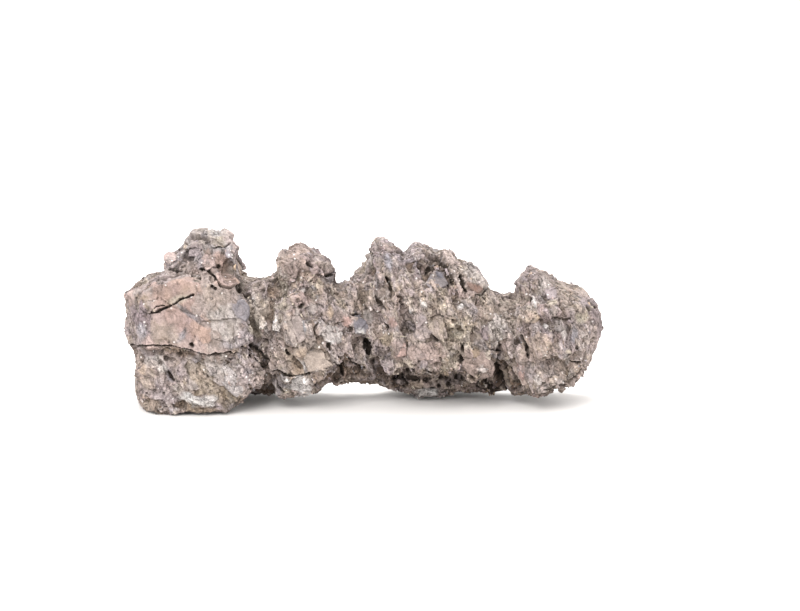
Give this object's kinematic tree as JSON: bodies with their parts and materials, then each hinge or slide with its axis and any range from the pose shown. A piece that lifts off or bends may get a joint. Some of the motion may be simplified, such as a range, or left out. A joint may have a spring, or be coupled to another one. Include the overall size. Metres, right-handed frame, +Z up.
{
  "type": "ibigawa rock",
  "caption": "Long, rough piece of natural breccia: a broad block with a knob at one end, jagged towers, a round lobe at the other end, and a low arch left open beneath.",
  "frame": {"origin": "centre of the footprint's bounding box, on the surface that the stone lies on", "axes": "+X along the stone, from the broad block to the round lobe; +Y from its front to its back; +Z up"},
  "size_m": [0.4012, 0.1163, 0.1483],
  "materials": {
    "stone": "rough, broken and granular"
  },
  "bodies": {
    "root": {"stone": "stone"}
  },
  "joints": []
}
